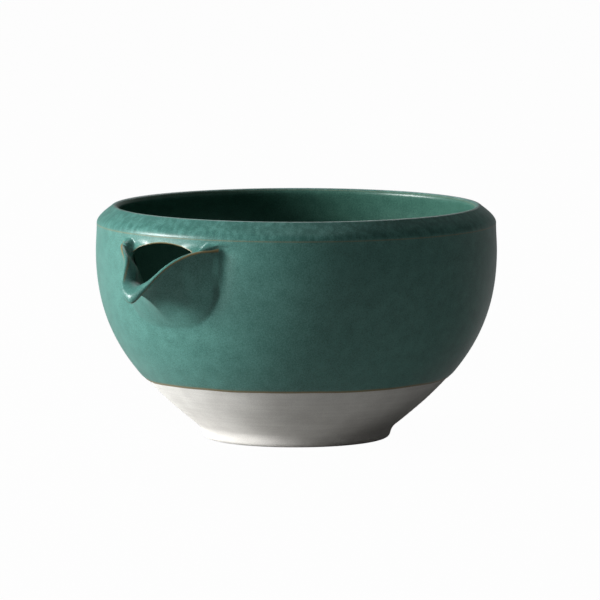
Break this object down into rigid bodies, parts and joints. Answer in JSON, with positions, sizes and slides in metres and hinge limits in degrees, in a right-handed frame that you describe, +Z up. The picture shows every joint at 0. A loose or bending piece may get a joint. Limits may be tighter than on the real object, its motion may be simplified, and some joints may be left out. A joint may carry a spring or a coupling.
{
  "type": "spouted tea bowl",
  "caption": "Spouted stoneware tea bowl with a pinched side spout, in-turned rim, turned foot ring and a matte green glaze over a bare lower wall.",
  "frame": {"origin": "under the middle of the whole bowl's bounding box, on the plane that the foot ring rests on", "axes": "+Z up; the spout points along -Y; +X is to the right of someone who looks along +Y"},
  "size_m": [0.1236, 0.1394, 0.072],
  "materials": {
    "clay": "bare matte stoneware",
    "spout_glaze": "satin green glaze",
    "glaze_outside": "satin green glaze",
    "glaze_inside": "satin green glaze"
  },
  "bodies": {
    "root": {"bowl_body": "clay", "spout": "spout_glaze", "outer_glaze": "glaze_outside", "inner_glaze": "glaze_inside"}
  },
  "joints": []
}
